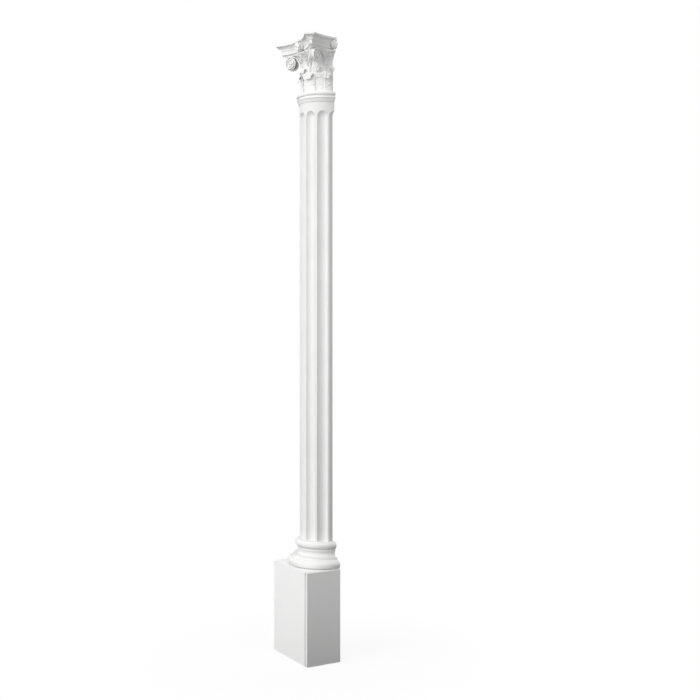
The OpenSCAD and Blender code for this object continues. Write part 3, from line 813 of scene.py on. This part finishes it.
class COLUMN_OT_leaves(bpy.types.Operator):
    """Carves the acanthus leaves"""
    bl_idname = "column.leaves"
    bl_label = "Leaves"

    def execute(self, context):
        white = moulding_finish("leaf_white")
        for nodes, row in ((LOW_LEAVES, LOW_ROW), (HIGH_LEAVES, HIGH_ROW)):
            for node, bearing in nodes.items():
                form = self.carved(context.scene.column_capital, node, math.radians(bearing),
                                   **row)
                if abs(bearing) == WALL_BEARING:
                    cut_at_wall(form)
                add_carving(node, "carved", form, white)
        return {"FINISHED"}

    @staticmethod
    def centre_line(root_r, height, tip, bend=25 * MM, bend_rise=0.36, reach=2.2, steps=1200):
        """Length along a leaf's middle, with radius, height and heading there.

        It rises to the given height, turns over in a bend and hangs down to the tip."""
        along = np.linspace(0, reach * height, steps)
        straight = height - bend * bend_rise
        heading = math.pi * eased(along, straight, straight + bend)
        step = along[1]
        radius = root_r + np.cumsum(np.sin(heading)) * step
        rise = np.cumsum(np.cos(heading)) * step
        length = along[(along > straight + bend) & (rise < tip)][0]
        return along, radius, rise, heading, length

    @staticmethod
    def lobes(share, notches):
        """How far through its lobe each place on a leaf is, and the lobe's share of the length."""
        lobe = np.clip(np.searchsorted(notches, share, side="right") - 1, 0, len(notches) - 2)
        starts, ends = np.array(notches)[lobe], np.array(notches)[lobe + 1]
        return (share - starts) / (ends - starts), ends - starts

    @staticmethod
    def relief(settings, across, side, full, phase, lobe_length, begun):
        """Height of the carving: a middle rib, and for each lobe a vein, valleys and an eye."""
        gap = np.minimum(phase, 1 - phase) * lobe_length
        middle = (phase - 0.5) * lobe_length
        rib = settings.rib_height * (
            hump(side, RIB_WIDTH)
            - GROOVE_SHARE * hump(np.abs(side) - GROOVE_PLACE, GROOVE_WIDTH))
        ripple = RIPPLE * np.cos(2 * LEAFLETS * math.pi * (phase - 0.5)) * np.abs(across) ** 2
        veins = eased(np.abs(side), *VEIN_SPAN) * (
            VEIN_HEIGHT * hump(middle, VEIN_WIDTH) - settings.valley * hump(gap, VALLEY_WIDTH)
            + ripple)
        eye = EYE_DEPTH * hump(gap, EYE_LENGTH) * hump(np.abs(side) - EYE_PLACE * full, EYE_WIDTH)
        return rib + begun * (veins - eye)

    def carved(self, settings, node, bearing, width, tip, curl, channelled, outline, notches,
               rows=190, columns=61):
        """A lobed leaf that hugs the bell, leans out at its top and hangs over in a hood."""
        low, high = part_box(node)
        thick = settings.leaf_edge
        root_r = radii(node)[0] + thick / 2
        line, radius, rise, heading, length = self.centre_line(
            root_r, high.z - low.z - thick, tip)
        share = np.linspace(0, 1, rows)[:, None]
        across = steps_across(columns)
        along = share * length
        fold = line[np.argmax(rise)]

        # Outline: lobes with their leaflets, and a round tip
        full = width / 2 * np.interp(share, *zip(*outline))
        full = full * np.sqrt(1 - np.clip((share - TIP_START) / TIP_LENGTH, 0, 1) ** 2)
        phase, lobe_share = self.lobes(share, notches)
        begun = eased(share, notches[1] - CARVING_LEAD, notches[1] + CARVING_LAG)
        half = full * (1 - settings.notch * begun * scallop(math.pi * phase, LOBE_POWER))
        half = half * (1 - LEAFLET_NOTCH * begun
                       * scallop(LEAFLETS * math.pi * phase, LEAFLET_POWER))
        side = across * half
        slant = settings.lobe_slant * eased(along, 0.0, SLANT_START * length)
        along = along + slant * np.abs(side) * (1 - SLANT_LOSS * eased(share, *SLANT_LOSS_SPAN))

        # Thickness: the carving is on the outer face below the hood and on the other one in it
        relief = self.relief(settings, across, side, full, phase, lobe_share * length, begun)
        if channelled:
            stem = 1 - eased(share, *CHANNEL_SPAN)
            relief = relief * (1 - stem) + stem * CHANNEL_DEPTH * np.cos(side / CHANNEL_WIDTH)
        hanging = eased(along, fold - FACE_SWAP, fold + FACE_SWAP)
        lens = np.sqrt(1 - np.abs(across) ** EDGE_POWER)
        front = lens * (thick / 2 + np.maximum(relief * (1 - hanging), DEEPEST_CUT * thick))
        back = lens * (thick / 2 + np.maximum(relief * hanging, DEEPEST_CUT * thick))

        # Curled edges, which hug the bell low down, and an arched hood
        lifted = (1 + HUG_SHARE) * eased(share, *HUG_SPAN) - HUG_SHARE
        edge = curl * np.abs(across) ** CURL_POWER * lifted * (1 - 2 * hanging)
        reach, lift, turn = (np.interp(along, line, values) for values in (radius, rise, heading))
        arch = ARCH_ROOT + ARCH_GROWTH * eased(along, ARCH_START * fold, fold)
        lift = lift - arch * width * (side / width * 2) ** 2 * eased(share, *ARCH_SPAN)
        angle = bearing + side / root_r
        faces = [to_column(reach + np.cos(turn) * offset, angle,
                           RING_TOP + np.maximum(lift - np.sin(turn) * offset, 0))
                 for offset in (edge + front, edge - back)]
        return shell(node, *faces)


class COLUMN_OT_scrolls(bpy.types.Operator):
    """Sweeps the channelled bands of the corner scrolls and the small scrolls"""
    bl_idname = "column.scrolls"
    bl_label = "Scrolls"

    def execute(self, context):
        settings = context.scene.column_capital
        white = moulding_finish("scroll_white")
        band = self.band_pattern()
        for node, bearing in CORNER_SCROLLS.items():
            faces = [moved(band.made(node, Radius=settings.scroll_r, Breadth=settings.scroll_w,
                                     Material=white, **CORNER_BAND),
                           self.on_corner, settings, side, math.radians(bearing))
                     for side in (-1, 1)]
            add_carving(node, "swept", form_of(*faces), white)
        for node, (bearing, side) in HELICES.items():
            face = moved(band.made(node, Radius=settings.helix_r, Breadth=HELIX_BREADTH,
                                   Material=white, **HELIX_BAND),
                         self.on_bell, settings, side, math.radians(bearing))
            add_carving(node, "swept", form_of(face), white)
        return {"FINISHED"}

    @staticmethod
    def band_pattern():
        """A band that comes up as a stem, goes over the top and winds into a domed eye.

        It lies in the XY plane round the origin, with its breadth along Z."""
        tree = Pattern("spiral_band", ["Radius", "Turns", "Foot", "Swing", "Breadth", "Band",
                                       "Eye", "Web", "Channel"])
        size = tree.size
        grid = tree.node("GeometryNodeMeshGrid", None,
                         {"Size X": 1.0, "Size Y": 1.0, "Vertices X": 201, "Vertices Y": 37})
        x, y, _ = tree.split(tree.node("GeometryNodeInputPosition"))

        # The course: degrees before the top are the stem's, and those after it are wound
        quarter, turn = 90, 360
        share = x + 0.5
        turned = share * (size["Turns"] * turn + size["Foot"]) - size["Foot"]
        stem = tree.maths("MINIMUM", turned, 0.0)
        wound = tree.maths("MAXIMUM", turned, 0.0)
        all_wound = size["Turns"] * turn
        curve_r = size["Radius"] * (1 + size["Swing"] * stem * stem / quarter ** 2
                                    - (1 - size["Eye"]) * wound / all_wound)

        # The profile: a square with round corners whose outer side is hollowed
        corner_power, end_steepness, thinning = 0.45, 90, 0.45
        around = (y + 0.5) * FULL_TURN
        breadthways, outward = (
            tree.maths("SIGN", wave) * tree.maths("ABSOLUTE", wave) ** corner_power
            for wave in (tree.maths("COSINE", around), tree.maths("SINE", around)))
        ends = tree.maths("MINIMUM", share * (1 - share) * end_steepness, 1.0) ** 0.5
        thin = size["Radius"] * size["Band"] * (1 - thinning * wound / all_wound) * ends
        hollow = (size["Channel"] * (1 - breadthways * breadthways)
                  * tree.maths("MAXIMUM", outward, 0.0) * ends)
        reach = curve_r + (outward - 1) * thin * 0.5 - hollow
        swept = tree.maths("RADIANS", turned)
        band = tree.bent(grid, tree.vector(reach * tree.maths("SINE", swept),
                                           reach * tree.maths("COSINE", swept),
                                           breadthways * size["Breadth"] * 0.5 * ends))
        band = tree.node("GeometryNodeMergeByDistance", None,
                         {"Geometry": band, "Distance": BAND_WELD})

        # The domed eye at the end of the course, and a flat web that closes the scroll
        eye_overlap, eye_height, web_reach = 1.05, 0.55, 0.9
        ball = tree.ball(segments=40, rings=20)
        eye_r = size["Radius"] * size["Eye"] * eye_overlap
        eye = tree.placed(ball, (eye_r, eye_r, size["Breadth"] * eye_height))
        web_r = size["Radius"] * web_reach
        web = tree.placed(ball, (web_r, web_r, size["Breadth"] * size["Web"] * 0.5))
        tree.end(band, eye, web)
        return tree

    @staticmethod
    def on_corner(points, settings, side, bearing):
        """From the band's plane to a splayed face under a horn, kept out of the bell."""
        out = radii("corner_scroll_right")[1] - settings.scroll_w / 2 * math.cos(settings.splay)
        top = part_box("corner_scroll_right")[1].z
        place = (Matrix.Rotation(bearing, 4, "Z")
                 @ Matrix.Translation((0, -out, top - settings.scroll_r))
                 @ Matrix.Rotation(side * settings.splay, 4, "Z")
                 @ Matrix.Rotation(-QUARTER, 4, "Z") @ Matrix.Rotation(QUARTER, 4, "X")
                 @ Matrix.Translation((-settings.scroll_r, 0, 0)))
        points = points @ np.array(place.to_3x3()).T + np.array(place.translation)
        reach = np.hypot(points[:, 0], points[:, 1])
        least = bell_face(points[:, 2] - RING_TOP) - MM
        points[:, :2] *= np.maximum(1, least / reach)[:, None]
        return points + (0, WALL_Y, 0)

    @staticmethod
    def on_bell(points, settings, side, bearing, gap=36 * MM):
        """From the band's plane to the bell's face, beside the middle of a side.

        The gap is between the centres of the two scrolls that face each other."""
        node_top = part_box("helix_right_front")[1].z
        rise = points[:, 1] + node_top - settings.helix_r - RING_TOP
        around = side * (gap / 2 - points[:, 0])
        return to_column(bell_face(rise) + points[:, 2], bearing + around / BELL_R,
                         RING_TOP + rise)


class COLUMN_OT_stalks(bpy.types.Operator):
    """Carves the fluted stalks with their calyxes"""
    bl_idname = "column.stalks"
    bl_label = "Stalks"

    def execute(self, context):
        white = moulding_finish("stalk_white")
        for node, bearing in STALKS.items():
            add_carving(node, "fluted", self.fluted(node, math.radians(bearing)), white)
        return {"FINISHED"}

    @staticmethod
    def fluted(node, bearing, rows=120, columns=41, edge_power=4):
        """A stalk that tapers up the bell and opens into a cup."""
        low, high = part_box(node)
        share = np.linspace(0, 1, rows)[:, None]
        across = steps_across(columns)
        half = np.interp(share, *STALK_HALF) * MM
        depth = np.interp(share, *STALK_DEPTH) * MM
        cup = eased(share, *CALYX_SPAN)
        flutes = (STALK_FLUTE_DEPTH * (1 - CALYX_FLATTENING * cup)
                  * np.cos(across * STALK_FLUTES * math.pi))
        rise = share * (high.z - low.z) - CALYX_DIP * cup * np.abs(across) ** 2
        angle = bearing + across * half / BELL_R
        lens = np.sqrt(1 - across ** edge_power)
        front = to_column(bell_face(rise) + (depth + flutes) * lens, angle, low.z + rise)
        back = to_column(bell_face(rise) - STALK_SINK, angle, low.z + rise)
        back[:, 0], back[:, -1] = front[:, 0], front[:, -1]
        return shell(node, front, back)


class COLUMN_OT_flowers(bpy.types.Operator):
    """Sets the five-petalled flowers into the abacus"""
    bl_idname = "column.flowers"
    bl_label = "Flowers"

    def execute(self, context):
        settings = context.scene.column_capital
        white = moulding_finish("flower_white")
        pattern = self.flower_pattern()
        low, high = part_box("flower_front")
        seat, face = WALL_Y - high.y, WALL_Y - low.y
        for node, bearing in FLOWERS.items():
            mesh = pattern.made(node, Radius=settings.flower_r, Petals=settings.petals,
                                Depth=face - seat, Material=white)
            mesh.transform(Matrix.Translation((0, WALL_Y, (low.z + high.z) / 2))
                           @ Matrix.Rotation(math.radians(bearing), 4, "Z")
                           @ Matrix.Translation((0, -seat, 0)) @ Matrix.Rotation(QUARTER, 4, "X"))
            form = form_of(mesh)
            if abs(bearing) == WALL_BEARING:
                cut_at_wall(form)
            add_carving(node, "carved", form, white)
        return {"FINISHED"}

    @staticmethod
    def flower_pattern():
        """Petals round a boss on a domed cup; it faces +Z with its seat at the origin."""
        tree = Pattern("flower", ["Radius", "Petals", "Depth"])
        size = tree.size
        radius, depth = size["Radius"], size["Depth"]
        ball = tree.ball(segments=32, rings=24)

        # A petal: a flattened drop, dished along its middle and lifted at its rim. Its sizes
        # are shares of the flower's radius.
        long, wide, thick, lift, dished = 0.4, 0.47, 0.13, 0.16, 0.12
        root_width, dish_narrowness = 0.55, 2.5
        x, y, z = tree.split(tree.node("GeometryNodeInputPosition"))
        rim = (x + 1) * 0.5
        fat = root_width + rim * (1 - root_width)
        dish = (1 - tree.maths("MINIMUM", y * y * dish_narrowness, 1.0)) * dished
        petal = tree.bent(ball, tree.vector(x * long, y * fat * wide,
                                            z * thick + rim * rim * lift - dish * rim))

        # The petals stand in a ring round the middle
        ring_r, petals_at = 0.55, 0.78
        ring = tree.node("GeometryNodeMeshCircle", None, {
            "Vertices": tree.maths("ROUND", size["Petals"]), "Radius": 1.0})
        angle = tree.node("GeometryNodeInputIndex") * FULL_TURN / size["Petals"]
        spot = tree.node("ShaderNodeVectorMath", {"operation": "SCALE"}, {
            0: tree.vector(tree.maths("COSINE", angle), tree.maths("SINE", angle)),
            "Scale": ring_r})
        petals = tree.node("GeometryNodeInstanceOnPoints", None, {
            "Points": tree.bent(ring, spot), "Instance": petal,
            "Rotation": tree.vector(z=angle)})
        petals = tree.placed(petals, (radius,) * 3, depth * petals_at)

        # The boss and the cup: radius, height and place of their middles as shares
        boss_r, boss_height, boss_at = radius * 0.3, 0.17, 0.82
        cup_height, cup_at = 0.44, 0.42
        boss = tree.placed(ball, (boss_r, boss_r, depth * boss_height), depth * boss_at)
        cup = tree.placed(ball, (radius, radius, depth * cup_height), depth * cup_at)
        tree.end(petals, boss, cup)
        return tree


class COLUMN_PT_panel(bpy.types.Panel):
    """Lists the steps that dress the column"""
    bl_idname = "COLUMN_PT_panel"
    bl_label = "Half-column"
    bl_space_type = "VIEW_3D"
    bl_region_type = "UI"
    bl_category = "Half-column"

    def draw(self, context):
        for group in SETTINGS:
            settings = getattr(context.scene, group)
            box = self.layout.box()
            for name in settings.__annotations__:
                box.prop(settings, name)
        for operator in OPERATORS:
            self.layout.operator(operator.bl_idname)


SETTINGS = {"column_studio": StudioSettings, "column_finish": FinishSettings,
            "column_capital": CapitalSettings}
OPERATORS = (COLUMN_OT_studio, COLUMN_OT_block, COLUMN_OT_mouldings, COLUMN_OT_leaves,
             COLUMN_OT_scrolls, COLUMN_OT_stalks, COLUMN_OT_flowers)


def register():
    for name, group in SETTINGS.items():
        bpy.utils.register_class(group)
        setattr(bpy.types.Scene, name, PointerProperty(type=group))
    for kind in (*OPERATORS, COLUMN_PT_panel):
        bpy.utils.register_class(kind)


def unregister():
    for kind in (COLUMN_PT_panel, *reversed(OPERATORS)):
        bpy.utils.unregister_class(kind)
    for name, group in SETTINGS.items():
        delattr(bpy.types.Scene, name)
        bpy.utils.unregister_class(group)


def main():
    register()
    for operator in OPERATORS:
        group, name = operator.bl_idname.split(".")
        getattr(getattr(bpy.ops, group), name)()


if __name__ == "__main__":
    main()
